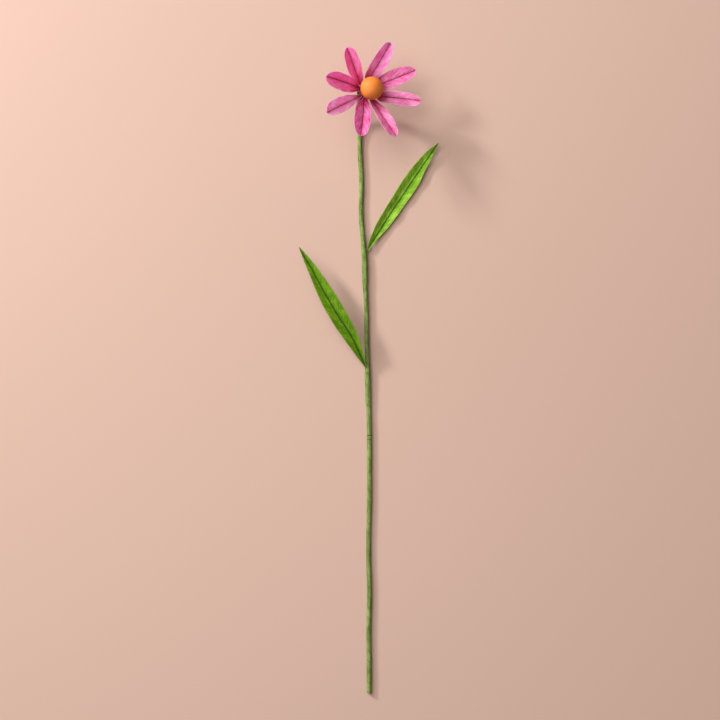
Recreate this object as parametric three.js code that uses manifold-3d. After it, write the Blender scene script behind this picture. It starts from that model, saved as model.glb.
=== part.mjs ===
// Long-stemmed paper flower, lying on its side.
// Millimetres, +Z up, floor at z = 0. The stem runs along Y with the flower head at +Y, and the head leans up off the floor.
//
// Pieces: a steel stem wire inside a wrap of two lengths of wound crepe tape, a drilled wooden ball on the wire's end, eight separate
// folded crepe petals whose narrow claws are bound to the wire under the ball, the binding itself, and two folded
// leaves, each with a thin covered wire glued under its midrib and its tail bound in under the stem wrap.
import * as THREE from 'three';
import { mergeVertices } from 'three/addons/utils/BufferGeometryUtils.js';
import Module from 'manifold-3d';

const wasm = await Module();
wasm.setup();

// ---------------------------------------------------------------- driving dimensions (mm, degrees)
const STEM_WIRE_R = 0.9;          // steel stem wire
const STEM_BORE_R = 1.2;          // the wrap's inside
const LEAF_WIRE_R = 0.35;         // covered wire under each leaf's midrib
const LEAF_BORE_R = 0.6;          // the room the wrap leaves round a leaf wire's tail
const TAIL_OFFSET = 1.62;         // tail centre from stem centre
const TAIL_LENGTH = 22;           // how far a leaf wire's tail runs down the stem
const WRAP_JOINT = -60;           // along Y: where the lower length of tape ends and the upper one starts
const WRAP_JOINT_GAP = 0.3;

const BALL_R = 9;                 // drilled wooden ball
const BALL_HOLE_R = 1.2;
const BALL_HOLE_TOP = 4.5;        // the blind hole's end, past the ball's centre
const BALL_CENTRE = [8.8, 212.03, 40.0];
const HEAD_TILT = 21;             // the head's axis from vertical
const HEAD_TILT_TOWARDS = 13;     // the way it leans, from +X

const PETAL_T = 0.4;              // petal thickness (two layers of crepe)
const PETAL_RISE = 20.7;          // how steeply the petals rise from the head's plane
const PETAL_MEET = -13;           // where the creases would meet on the axis, from the ball's centre
const PETAL_BOW = 1.6;            // the crease's bow
const CLAW_R = 1.42;              // claws stand round the wire at this radius
const CLAW_BOTTOM = -18.4;
const CLAW_HALF = 0.36;
const PETAL_GAP = 0.5;            // least space between neighbouring petals

const NECK_R = 2.5;               // binding over the claws
const NECK_BORE_R = 1.95;
const NECK_TOP = -14.2;
const NECK_RUN = 7;               // how far the binding goes on down the stem

const LEAF_T = 0.4;

// Stem centreline and outside radius from the cut end up to the neck: x, y, z, r.
const STEM = [
  [6.87, -265.27, 1.88, 1.9], [6.87, -249.29, 1.88, 1.98], [6.75, -233.31, 1.88, 1.9], [6.51, -217.33, 1.88, 1.85],
  [6.75, -204.54, 1.88, 1.88], [7.07, -191.76, 1.88, 1.9], [6.99, -175.78, 1.88, 1.88], [6.39, -159.8, 1.88, 1.8],
  [6.39, -140.62, 1.88, 1.76], [6.75, -124.64, 1.88, 1.84], [7.03, -108.66, 1.88, 1.9], [7.03, -89.49, 1.88, 1.9],
  [7.03, -70.31, 1.88, 1.9], [6.99, -57.53, 1.88, 1.92], [6.79, -47.94, 1.88, 1.85], [6.55, -38.35, 1.88, 1.85],
  [6.31, -28.76, 2.18, 1.85], [6.15, -19.17, 2.48, 1.85], [5.75, -7.98, 2.83, 1.85], [5.19, 6.39, 2.88, 1.75],
  [4.79, 20.76, 2.88, 1.7], [4.71, 31.94, 2.88, 1.68], [4.39, 43.12, 2.88, 1.68], [3.91, 54.3, 2.88, 1.75],
  [3.19, 65.47, 2.88, 1.85], [3.03, 76.66, 2.77, 1.9], [2.56, 86.26, 2.44, 1.9], [2.08, 95.87, 2.1, 1.8],
  [1.2, 105.47, 1.88, 1.8], [0.52, 115.06, 1.88, 1.85], [0.36, 126.24, 1.88, 1.75], [0.72, 137.43, 1.88, 1.85],
  [0.56, 148.61, 1.88, 1.85], [-0.04, 158.2, 1.88, 1.8], [-0.4, 166.19, 1.88, 1.85], [-0.65, 172.58, 1.88, 1.85],
  [-0.7, 180.5, 2.5, 1.8], [-0.8, 188.3, 4.0, 1.75], [-1.05, 195.86, 7.2, 1.7], [-1.3, 202.29, 12.3, 1.52],
  [-0.95, 207.3, 17.4, 1.5],
];

// Petals: the crease's line in plan (direction, and how far to the left of the axis it passes), the tip's distance from
// the axis, how far each half rises from the fold, and the flat half-widths (left, then right, looking outwards) at
// PETAL_AT of the way from claw to tip. The tip is rounded off on top of these.
const CLAW_FIRST = 122.8;         // the first claw's direction; the rest follow every 45 degrees
const PETAL_AT = [0, 0.06, 0.14, 0.25, 0.36, 0.47, 0.58, 0.69, 0.8, 0.9, 1];
const PETALS = [
  {
    name: 'petal_1', line: [119.5, 3.4], tip: 36.9, fold: [14, 56],
    half: [[0.42, 1.1, 2.6, 4.6, 6.3, 6.9, 7.3, 7.1, 6.5, 5.5, 4.5], [0.42, 1.3, 2.8, 4.2, 5.3, 6.1, 6.6, 6.8, 6.5, 5.6, 4.6]],
  },
  {
    name: 'petal_2', line: [62.8, 3.4], tip: 39.7, fold: [30, 30],
    half: [[0.42, 1.9, 4.5, 6.8, 7.6, 7.9, 7.8, 7.4, 6.7, 5.7, 4.5], [0.42, 1.6, 3.8, 5.7, 6.5, 6.9, 7, 6.7, 6, 4.9, 3.8]],
  },
  {
    name: 'petal_3', line: [23.5, 0.95], tip: 39.8, fold: [6, 10],
    half: [[0.42, 1.6, 3.7, 5.5, 6.5, 7.1, 7.6, 7.4, 6.5, 5.1, 3.7], [0.42, 1.6, 3.7, 5.8, 6.4, 6.6, 6.5, 6.1, 5.5, 4.5, 3.3]],
  },
  {
    name: 'petal_4', line: [-6.1, -3.0], tip: 40.9, fold: [9, 8],
    half: [[0.42, 1.2, 2.8, 4.3, 5, 5.4, 5.4, 5.2, 4.7, 3.9, 2.8], [0.42, 1.4, 3.1, 4.6, 5.4, 6, 6.5, 6.5, 6.1, 5.3, 4.2]],
  },
  {
    name: 'petal_5', line: [-62.9, 0.2], tip: 41.55, fold: [20, 30],
    half: [[0.42, 1, 2, 3.2, 4.5, 5.3, 5.7, 5.7, 5.3, 4.3, 3.4], [0.42, 1.4, 3, 4.7, 6.2, 7, 7.5, 7.5, 7, 6, 4.8]],
  },
  {
    name: 'petal_6', line: [-103.1, -1.2], tip: 39.95, fold: [24, 16],
    half: [[0.42, 1.4, 3.1, 4.6, 5.4, 6, 6.3, 6.2, 5.9, 5.1, 4], [0.42, 1.5, 3.4, 5.6, 7.2, 8.1, 8.5, 8.4, 7.8, 6.7, 5.1]],
  },
  {
    name: 'petal_7', line: [-150.3, 1.1], tip: 45.1, fold: [24, 30],
    half: [[0.42, 0.8, 1.5, 2.4, 3.7, 4.8, 5.6, 5.9, 5.5, 4.7, 3.7], [0.42, 0.8, 1.5, 2.6, 4.4, 6.0, 7.1, 7.6, 7.4, 6.6, 5.2]],
  },
  {
    name: 'petal_8', line: [173.3, -1.2], tip: 38.8, fold: [10, 42],
    half: [[0.42, 1.5, 3.3, 5.2, 6.6, 7.3, 7.8, 7.6, 6.9, 5.9, 4.8], [0.42, 1.1, 2.3, 3.7, 5.0, 5.8, 6.5, 6.8, 6.6, 5.8, 4.7]],
  },
];

// Leaves: midrib points (x, y, z), flat half-widths (left, right) and rises (left, right) along the leaf.
const LEAF_UPPER = {
  midrib: [[5.7, 88.05, 3.3], [9.6, 94.5, 2.6], [16.2, 104.95, 1.75], [24.7, 117.95, 1.4], [30.4, 126.55, 1.35],
    [37.8, 137.7, 1.45], [44.65, 147.95, 1.9], [53.3, 160.7, 3.0], [62.15, 173.15, 4.6]],
  outline: [[0, 0.8, 0.7], [0.03, 1.9, 1.1], [0.06, 2.88, 1.5], [0.1, 3.99, 2.07], [0.16, 5.17, 3.1], [0.23, 6.22, 4.6],
    [0.31, 6.53, 5.2], [0.39, 6.88, 5.5], [0.46, 7.07, 5.6], [0.54, 7.3, 5.8], [0.6, 7.5, 6.0], [0.67, 7.29, 5.65],
    [0.74, 6.39, 4.4], [0.82, 5.44, 3.28], [0.89, 4.41, 2.4], [0.95, 2.21, 1.43], [1, 0.3, 0.3]],
  rise: [[0, 40, 25], [0.3, 38, 12], [0.6, 34, 14], [1, 30, 22]],
};
const LEAF_LOWER = {
  midrib: [[4.3, -5.2, 4.9], [0.4, 3.62, 7.2], [-6.3, 17.97, 11.0], [-15.6, 32.27, 13.2], [-21.4, 41.81, 14.0],
    [-29.7, 56.1, 14.9], [-37.4, 70.39, 15.5], [-48.5, 89.7, 16.0]],
  outline: [[0, 0.7, 0.7], [0.03, 1.5, 1.5], [0.06, 2.45, 2.4], [0.1, 3.62, 3.55], [0.16, 4.93, 5.02], [0.23, 6.08, 6.35],
    [0.31, 6.81, 7.28], [0.39, 7.08, 7.75], [0.46, 7.13, 7.93], [0.54, 6.87, 7.67], [0.6, 6.4, 7.17], [0.67, 5.7, 6.42],
    [0.74, 4.9, 5.5], [0.82, 3.9, 4.3], [0.89, 2.73, 3.13], [0.95, 1.6, 1.8], [1, 0.3, 0.3]],
  rise: [[0, 20, 60], [0.2, 14, 54], [0.45, 24, 34], [0.7, 30, 24], [1, 30, 30]],
};

const DEG = Math.PI / 180;
const V = (x, y, z) => new THREE.Vector3(x, y, z);

// ---------------------------------------------------------------- helpers
function table(rows, t, column = 1) {
  if (t <= rows[0][0]) return rows[0][column];
  for (let i = 1; i < rows.length; i++) {
    if (t <= rows[i][0]) {
      const s = (t - rows[i - 1][0]) / (rows[i][0] - rows[i - 1][0]);
      return rows[i - 1][column] * (1 - s) + rows[i][column] * s;
    }
  }
  return rows[rows.length - 1][column];
}
const smooth = (a, b, x) => { const t = Math.min(1, Math.max(0, (x - a) / (b - a))); return t * t * (3 - 2 * t); };

function geometryOf(points, triangles) {
  const g = new THREE.BufferGeometry();
  g.setAttribute('position', new THREE.Float32BufferAttribute(points.flatMap((p) => [p.x, p.y, p.z]), 3));
  let volume = 0;
  for (const [a, b, c] of triangles) volume += points[a].dot(points[b].clone().cross(points[c]));
  g.setIndex(triangles.flatMap(([a, b, c]) => (volume > 0 ? [a, b, c] : [a, c, b])));
  g.computeVertexNormals();
  return g;
}

// A closed tube of varying radius: rings along a centreline, flat ends.
function tube(centres, radii, sides, phase = 0, extra = null) {
  const points = [];
  const triangles = [];
  let normal = V(0, 0, 1);
  const last = centres.length - 1;
  centres.forEach((c, i) => {
    const tangent = centres[Math.min(i + 1, last)].clone().sub(centres[Math.max(i - 1, 0)]).normalize();
    normal = normal.clone().sub(tangent.clone().multiplyScalar(normal.dot(tangent))).normalize();
    const side = tangent.clone().cross(normal);
    for (let k = 0; k < sides; k++) {
      const a = phase + (2 * Math.PI * k) / sides;
      const r = radii[i] + (extra ? extra(i, a) : 0);
      points.push(c.clone().addScaledVector(normal, r * Math.cos(a)).addScaledVector(side, r * Math.sin(a)));
    }
  });
  for (let i = 0; i < last; i++) {
    for (let k = 0; k < sides; k++) {
      const a = i * sides + k;
      const b = i * sides + ((k + 1) % sides);
      triangles.push([a, b, b + sides], [a, b + sides, a + sides]);
    }
  }
  for (let k = 1; k < sides - 1; k++) {
    triangles.push([0, k + 1, k]);
    triangles.push([last * sides, last * sides + k, last * sides + k + 1]);
  }
  return geometryOf(points, triangles);
}

// A folded sheet of paper: rows of points across it, thickened along their normals.
function sheet(rows, thickness) {
  const points = [];
  const triangles = [];
  const n = rows[0].length;
  const half = thickness / 2;
  for (const row of rows) {
    for (const { p, n: up } of row) points.push(p.clone().addScaledVector(up, half));
    for (const { p, n: up } of row) points.push(p.clone().addScaledVector(up, -half));
  }
  const top = (i, j) => i * 2 * n + j;
  const low = (i, j) => i * 2 * n + n + j;
  const quad = (a, b, c, d) => triangles.push([a, b, c], [a, c, d]);
  const m = rows.length - 1;
  for (let i = 0; i < m; i++) {
    for (let j = 0; j < n - 1; j++) {
      quad(top(i, j), top(i, j + 1), top(i + 1, j + 1), top(i + 1, j));
      quad(low(i, j), low(i + 1, j), low(i + 1, j + 1), low(i, j + 1));
    }
    quad(top(i, 0), top(i + 1, 0), low(i + 1, 0), low(i, 0));
    quad(top(i, n - 1), low(i, n - 1), low(i + 1, n - 1), top(i + 1, n - 1));
  }
  for (let j = 0; j < n - 1; j++) {
    quad(top(0, j), low(0, j), low(0, j + 1), top(0, j + 1));
    quad(top(m, j), top(m, j + 1), low(m, j + 1), low(m, j));
  }
  return geometryOf(points, triangles);
}

function solidOf(geometry) {
  const bare = new THREE.BufferGeometry();
  bare.setAttribute('position', geometry.getAttribute('position').clone());
  if (geometry.index) bare.setIndex(geometry.index.clone());
  const g = mergeVertices(bare, 1e-4);
  return new wasm.Manifold(new wasm.Mesh({
    numProp: 3,
    vertProperties: new Float32Array(g.attributes.position.array),
    triVerts: new Uint32Array(g.index.array),
  }));
}

function geometryFrom(solid) {
  const mesh = solid.getMesh();
  const g = new THREE.BufferGeometry();
  g.setAttribute('position', new THREE.Float32BufferAttribute(mesh.vertProperties, 3));
  g.setIndex(Array.from(mesh.triVerts));
  g.computeVertexNormals();
  return g;
}

const disc = (r, sides) => {
  const s = new THREE.Shape();
  for (let k = 0; k < sides; k++) {
    const a = (2 * Math.PI * k) / sides;
    if (k) s.lineTo(r * Math.cos(a), r * Math.sin(a));
    else s.moveTo(r * Math.cos(a), r * Math.sin(a));
  }
  s.closePath();
  return s;
};

// A route through given points, one step of an extrusion to each.
class Route extends THREE.Curve {
  constructor(points) { super(); this.points = points; }
  getPoint(t, target = new THREE.Vector3()) {
    const last = this.points.length - 1;
    const x = Math.min(1, Math.max(0, t)) * last;
    const i = Math.min(last - 1, Math.floor(x + 1e-9));
    return target.copy(this.points[i]).lerp(this.points[i + 1], Math.max(0, x - i));
  }
  getPointAt(u, target) { return this.getPoint(u, target); }
  getTangentAt(u, target = new THREE.Vector3()) {
    const last = this.points.length - 1;
    const i = Math.round(u * last);
    return target.copy(this.points[Math.min(i + 1, last)]).sub(this.points[Math.max(i - 1, 0)]).normalize();
  }
}

// A round wire through given points.
const wire = (points, r, sides) => new THREE.ExtrudeGeometry(disc(r, sides), { steps: points.length - 1, extrudePath: new Route(points), bevelEnabled: false });

// Points along a curve, closer together where step() is smaller.
function walk(curve, step) {
  const length = curve.getLength();
  const points = [];
  let at = 0;
  while (at < length) {
    const p = curve.getPointAt(at / length);
    if (at && length - at < 0.4 * step(p)) break;
    points.push(p);
    at += step(p);
  }
  points.push(curve.getPointAt(1));
  return points;
}

// ---------------------------------------------------------------- the head's own frame: origin at the ball's centre, +Z along the head's axis
const axis = V(
  Math.sin(HEAD_TILT * DEG) * Math.cos(HEAD_TILT_TOWARDS * DEG),
  Math.sin(HEAD_TILT * DEG) * Math.sin(HEAD_TILT_TOWARDS * DEG),
  Math.cos(HEAD_TILT * DEG),
);
const headX = V(1, 0, 0).addScaledVector(axis, -axis.x).normalize();
const headY = axis.clone().cross(headX);
const head = new THREE.Group();
head.quaternion.setFromRotationMatrix(new THREE.Matrix4().makeBasis(headX, headY, axis));
head.position.set(...BALL_CENTRE);
const onAxis = (d) => V(...BALL_CENTRE).addScaledVector(axis, d);

// ---------------------------------------------------------------- stem
// The wire follows the stem's centreline, then runs straight up the head's axis into the ball.
const stemCurve = new THREE.CatmullRomCurve3(
  [...STEM.map(([x, y, z]) => V(x, y, z)), onAxis(CLAW_BOTTOM - 0.9), onAxis(CLAW_BOTTOM + 1.2), onAxis(-14), onAxis(-8), onAxis(BALL_HOLE_TOP - 0.4)],
  false, 'centripetal',
);
const wirePoints = walk(stemCurve, (p) => (p.y < 172 ? 11 : 3.2));

// Radius along the stem, by the nearest row of the table.
function stemRadius(p) {
  let best = 0;
  let at = STEM[0][3];
  for (let i = 0; i < STEM.length - 1; i++) {
    const a = V(...STEM[i].slice(0, 3));
    const b = V(...STEM[i + 1].slice(0, 3));
    const ab = b.clone().sub(a);
    const t = Math.min(1, Math.max(0, p.clone().sub(a).dot(ab) / ab.lengthSq()));
    const d = 1 / (1e-6 + a.clone().addScaledVector(ab, t).distanceTo(p));
    if (d > best) { best = d; at = STEM[i][3] * (1 - t) + STEM[i + 1][3] * t; }
  }
  return at;
}

// Where a leaf wire's tail runs: beside the stem wire, from its entry down the stem.
const TAILS = [
  { y: 86.5, angle: 8 },     // upper leaf, on the +X side
  { y: -10.5, angle: 150 },  // lower leaf, on the -X side and above
];
function pointAtY(y) {
  for (let i = 1; i < wirePoints.length; i++) {
    if (wirePoints[i].y >= y) {
      const a = wirePoints[i - 1];
      const t = (y - a.y) / (wirePoints[i].y - a.y);
      return a.clone().lerp(wirePoints[i], t);
    }
  }
  return wirePoints[0].clone();
}
const beside = (y, angle, d = TAIL_OFFSET) => pointAtY(y).add(V(d * Math.cos(angle * DEG), 0, d * Math.sin(angle * DEG)));
// The wrap swells over a tail: in the tube's ring angle, 0 is up and 90 degrees is towards +X or -X.
function swell(p, ringAngle) {
  let s = 0;
  for (const { y, angle } of TAILS) {
    const along = smooth(y - TAIL_LENGTH - 5, y - TAIL_LENGTH - 1, p.y) * (1 - smooth(y + 0.5, y + 4, p.y));
    const target = V(Math.cos(angle * DEG), 0, Math.sin(angle * DEG));
    const here = V(Math.sin(ringAngle), 0, Math.cos(ringAngle));
    const c = Math.max(0, target.dot(here));
    s += along * (0.12 + 0.82 * c * c);
  }
  return s;
}

const wrapPoints = wirePoints.filter((p) => p.clone().sub(onAxis(CLAW_BOTTOM)).dot(axis) < -1.2);
wrapPoints.push(onAxis(CLAW_BOTTOM - 0.8));
const SIDES = 12;
let wrap = solidOf(tube(wrapPoints, wrapPoints.map(stemRadius), SIDES, Math.PI / SIDES, (i, a) => swell(wrapPoints[i], a)));
const borePoints = [
  wirePoints[0].clone().addScaledVector(wirePoints[1].clone().sub(wirePoints[0]).normalize(), -2),
  ...wirePoints.slice(0, -3), onAxis(-6),
];
wrap = wrap.subtract(solidOf(tube(borePoints, borePoints.map(() => STEM_BORE_R), 8)));

// ---------------------------------------------------------------- leaves
function leaf({ midrib, outline, rise }, steps) {
  const path = new THREE.CatmullRomCurve3(midrib.map((p) => V(...p)), false, 'centripetal');
  const rows = [];
  for (let i = 0; i <= steps; i++) {
    const t = i / steps;
    const c = path.getPointAt(t);
    const along = path.getTangentAt(t);
    const left = V(-along.y, along.x, 0).normalize();
    const up = along.clone().cross(left).normalize();
    const [wl, wr, al, ar] = [table(outline, t, 1), table(outline, t, 2), table(rise, t, 1) * DEG, table(rise, t, 2) * DEG];
    const row = [];
    for (const s of [1, 0.5, 0, -0.5, -1]) {
      const a = s > 0 ? al : ar;
      const w = s > 0 ? wl : wr;
      const p = c.clone().addScaledVector(left, s * w * Math.cos(a)).addScaledVector(up, Math.abs(s) * w * Math.sin(a));
      const n = s === 0
        ? up.clone().addScaledVector(left, (Math.sin(ar) - Math.sin(al)) / 2).normalize()
        : up.clone().multiplyScalar(Math.cos(a)).addScaledVector(left, -Math.sign(s) * Math.sin(a));
      row.push({ p, n });
    }
    rows.push(row);
  }
  return { geometry: sheet(rows, LEAF_T), path };
}

// The leaf's wire: under the midrib, then into the stem wrap and down beside the stem wire.
function leafWirePath(path, tail, reach) {
  const drop = LEAF_T / 2 + 0.25 + LEAF_WIRE_R;
  const points = [];
  for (let i = 10; i >= 0; i--) {
    const t = (reach * i) / 10 + 0.015;
    const p = path.getPointAt(t);
    const along = path.getTangentAt(t);
    const left = V(-along.y, along.x, 0).normalize();
    points.push(p.addScaledVector(along.clone().cross(left).normalize(), -drop));
  }
  for (const d of [3.5, 8, 15, TAIL_LENGTH]) points.push(beside(tail.y - d, tail.angle));
  const curve = new THREE.CatmullRomCurve3(points, false, 'centripetal');
  return walk(curve, (p) => (p.y > tail.y + 14 ? 5 : 2));
}

const upper = leaf(LEAF_UPPER, 26);
const lower = leaf(LEAF_LOWER, 26);
const upperWire = leafWirePath(upper.path, TAILS[0], 0.82);
const lowerWire = leafWirePath(lower.path, TAILS[1], 0.82);

// Room for the tails in the wrap: a channel along each wire's last stretch, a little past its end.
for (const [points, tail] of [[upperWire, TAILS[0]], [lowerWire, TAILS[1]]]) {
  const along = points.filter((p) => p.y < tail.y + 12);
  const [a, b] = along.slice(-2);
  const stretch = [...along, b.clone().addScaledVector(b.clone().sub(a).normalize(), 0.5)];
  wrap = wrap.subtract(solidOf(tube(stretch, stretch.map(() => LEAF_BORE_R), 8)));
}

// The wrap is two lengths of tape, one above the other.
function wrapBetween(from, to) {
  const box = new THREE.BoxGeometry(400, to - from, 400);
  box.translate(0, (from + to) / 2, 0);
  return geometryFrom(wrap.intersect(solidOf(box)));
}
const wrapLower = wrapBetween(-400, WRAP_JOINT - WRAP_JOINT_GAP / 2);
const wrapUpper = wrapBetween(WRAP_JOINT + WRAP_JOINT_GAP / 2, 400);

// ---------------------------------------------------------------- petals, in the head's frame
const turned = (a) => ((a % 360) + 540) % 360 - 180;

// The direction of a petal's crease at distance r from the axis: its claw's own, then along its plan line.
function wayAt(index, r) {
  const [dir, offset] = PETALS[index].line;
  const own = CLAW_FIRST - 45 * index;
  const toward = dir + Math.asin(offset / Math.max(r, 9)) / DEG;
  return own + turned(toward - own) * smooth(CLAW_R, 9, r);
}

// Flat half-width of side k of a petal at share t of the way out.
function halfWidth(petal, k, t) {
  const x = Math.min(1, Math.max(0, (t - 0.86) / 0.14));
  return table(PETAL_AT.map((at, i) => [at, petal.half[k][i]]), t) * Math.sqrt(1 - x ** 3);
}

// Crease height over the head's plane at distance r from the axis.
const riseT = Math.tan(PETAL_RISE * DEG);
function creasePath(petal, steps) {
  const line = (r) => PETAL_MEET + r * riseT;
  const from = V(CLAW_R, CLAW_BOTTOM, 0);
  const foot = V(CLAW_R, line(CLAW_R) - 1.3, 0);
  const bend = V(CLAW_R, line(CLAW_R), 0);
  const out = V(4.4, line(4.4), 0);
  const points = [from, V(CLAW_R, (CLAW_BOTTOM + foot.y) / 2, 0)];
  for (let i = 0; i <= 4; i++) {
    const t = i / 4;
    points.push(foot.clone().multiplyScalar((1 - t) ** 2).addScaledVector(bend, 2 * t * (1 - t)).addScaledVector(out, t * t));
  }
  for (let i = 1; i <= steps; i++) {
    const t = i / steps;
    const s = t + 0.12 * t * (1 - t); // closer rows towards the tip
    const r = 4.4 + (petal.tip - 4.4) * s;
    points.push(V(r, line(r) + PETAL_BOW * 4 * s * (1 - s), 0));
  }
  return points;
}

function petalGeometry(index) {
  const petal = PETALS[index];
  const points = creasePath(petal, 13);
  const rows = points.map((q, i) => {
    const before = points[Math.max(i - 1, 0)];
    const after = points[Math.min(i + 1, points.length - 1)];
    const slope = Math.atan2(after.y - before.y, after.x - before.x);
    const r = q.x;
    const way = wayAt(index, r);
    const a = way * DEG;
    const out = V(Math.cos(a), Math.sin(a), 0);
    const left = V(-Math.sin(a), Math.cos(a), 0);
    const up = V(0, 0, Math.cos(slope)).addScaledVector(out, -Math.sin(slope));
    const c = out.clone().multiplyScalar(r).add(V(0, 0, q.y));
    const t = (r - CLAW_R) / (petal.tip - CLAW_R);
    const opened = smooth(CLAW_R, 7, r);
    const half = [0, 1].map((k) => {
      const fold = petal.fold[k] * DEG * opened;
      const gap = (Math.abs(turned(wayAt((index + (k ? 1 : 7)) % 8, r) - way)) / 2) * DEG;
      const most = (r * Math.tan(gap) - PETAL_GAP / 2) / (Math.cos(fold) + Math.sin(fold) * Math.sin(slope) * Math.tan(gap));
      return { fold, w: Math.max(CLAW_HALF, Math.min(halfWidth(petal, k, t), most)) };
    });
    if (i < 4) half.forEach((h) => { h.w = Math.min(h.w, CLAW_HALF + 0.1); });
    return [1, 0.55, 0, -0.55, -1].map((s) => {
      const { fold, w } = half[s > 0 ? 0 : 1];
      const p = c.clone().addScaledVector(left, s * w * Math.cos(fold)).addScaledVector(up, Math.abs(s) * w * Math.sin(fold));
      const n = s === 0
        ? up.clone().addScaledVector(left, (Math.sin(half[1].fold) - Math.sin(half[0].fold)) / 2).normalize()
        : up.clone().multiplyScalar(Math.cos(fold)).addScaledVector(left, -Math.sign(s) * Math.sin(fold));
      return { p, n };
    });
  });
  return sheet(rows, PETAL_T);
}

// ---------------------------------------------------------------- ball, with a blind hole for the wire
const sphere = new THREE.SphereGeometry(BALL_R, 26, 15);
sphere.rotateX(Math.PI / 2);
const hole = new THREE.CylinderGeometry(BALL_HOLE_R, BALL_HOLE_R, BALL_HOLE_TOP + BALL_R + 2, 12);
hole.rotateX(Math.PI / 2);
hole.translate(0, 0, (BALL_HOLE_TOP - BALL_R - 2) / 2);
const ball = geometryFrom(solidOf(sphere).subtract(solidOf(hole)));

// ---------------------------------------------------------------- binding over the claws and the top of the wrap
const neckLine = [];
const straight = [NECK_TOP, -16.3, CLAW_BOTTOM];
for (const d of straight) neckLine.push(onAxis(d));
let reached = 0;
for (let i = wirePoints.length - 1; i >= 0 && reached < NECK_RUN; i--) {
  const p = wirePoints[i];
  const prev = neckLine[neckLine.length - 1];
  if (p.clone().sub(onAxis(CLAW_BOTTOM)).dot(axis) > -0.8) continue;
  neckLine.push(p);
  reached += p.distanceTo(prev);
}
const neckRadii = neckLine.map((_, i) => (i === 0 ? NECK_R - 0.12 : NECK_R));
const past = (a, b, d) => a.clone().addScaledVector(a.clone().sub(b).normalize(), d);
const neckBore = [past(neckLine[0], neckLine[1], 1), ...neckLine, past(neckLine[neckLine.length - 1], neckLine[neckLine.length - 2], 1)];
const neck = geometryFrom(
  solidOf(tube(neckLine, neckRadii, 14)).subtract(solidOf(tube(neckBore, neckBore.map(() => NECK_BORE_R), 14))),
);

// ---------------------------------------------------------------- the scene graph
const material = (color, roughness, metalness = 0) => new THREE.MeshStandardMaterial({ color, roughness, metalness });
const steel = material(0x9a9c9e, 0.4, 1);
const green = material(0x6f8a3c, 0.85);
const darkGreen = material(0x39481c, 0.85);
const leafGreen = material(0x5a9a28, 0.8);
const leafWire = material(0x4f7a2a, 0.85);
const pink = [0xd9508c, 0xdd5f9c, 0xe884b8, 0xea88bb, 0xe57fb5, 0xe06aa8, 0xdc5f9a, 0xd54a88].map((c) => material(c, 0.85));
const orange = material(0xd98a3a, 0.75);

const flower = new THREE.Group();
function add(parent, name, geometry, mat) {
  const mesh = new THREE.Mesh(geometry, mat);
  mesh.name = name;
  parent.add(mesh);
}
add(flower, 'stem_wire', wire(wirePoints, STEM_WIRE_R, 8), steel);
add(flower, 'stem_wrap_lower', wrapLower, green);
add(flower, 'stem_wrap_upper', wrapUpper, green);
add(flower, 'leaf_upper', upper.geometry, leafGreen);
add(flower, 'leaf_upper_wire', wire(upperWire, LEAF_WIRE_R, 6), leafWire);
add(flower, 'leaf_lower', lower.geometry, leafGreen);
add(flower, 'leaf_lower_wire', wire(lowerWire, LEAF_WIRE_R, 6), leafWire);
add(flower, 'neck_tape', neck, darkGreen);
add(head, 'flower_centre', ball, orange);
PETALS.forEach((petal, i) => add(head, petal.name, petalGeometry(i), pink[i]));
flower.add(head);

// The origin is the middle of the flower's outline, on the floor.
flower.updateMatrixWorld(true);
const box = new THREE.Box3().setFromObject(flower, true);
flower.position.set(-(box.min.x + box.max.x) / 2, -(box.min.y + box.max.y) / 2, -box.min.z);

export default flower;
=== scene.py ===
"""Looks for the long-stemmed paper flower: folded crepe petals and leaves, a painted ball, a wound tape stem.

Every piece is built here from its measurements, in millimetres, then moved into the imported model's frame in metres.
"""

import math

import bpy
import numpy as np
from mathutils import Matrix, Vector


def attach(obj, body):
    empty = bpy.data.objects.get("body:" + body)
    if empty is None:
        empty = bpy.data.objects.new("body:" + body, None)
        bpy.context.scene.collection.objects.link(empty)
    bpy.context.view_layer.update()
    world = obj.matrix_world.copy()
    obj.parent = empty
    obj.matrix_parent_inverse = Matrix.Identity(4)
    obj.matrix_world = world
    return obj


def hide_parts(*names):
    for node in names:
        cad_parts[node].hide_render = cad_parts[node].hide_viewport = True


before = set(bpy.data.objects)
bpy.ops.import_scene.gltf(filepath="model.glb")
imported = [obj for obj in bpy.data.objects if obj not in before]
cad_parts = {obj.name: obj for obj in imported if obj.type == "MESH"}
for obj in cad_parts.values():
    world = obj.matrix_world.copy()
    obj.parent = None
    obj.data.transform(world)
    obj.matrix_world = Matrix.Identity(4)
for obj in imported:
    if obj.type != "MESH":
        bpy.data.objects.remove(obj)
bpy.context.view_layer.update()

# ------------------------------------------------------------------ the model's frame
# The lay-out below is the same as the CAD source's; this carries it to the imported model's origin (mm).
SHIFT = np.array([-6.81499, 8.38405, 0.00845])
MM = 0.001
DEG = math.pi / 180

BALL_R = 9.0
BALL_CENTRE = np.array([8.8, 212.03, 40.0])
HEAD_TILT, HEAD_TOWARDS = 21.0, 13.0
PETAL_RISE, PETAL_MEET, PETAL_BOW = 20.7, -13.0, 1.6
CLAW_R, CLAW_BOTTOM = 1.42, -18.4

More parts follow.
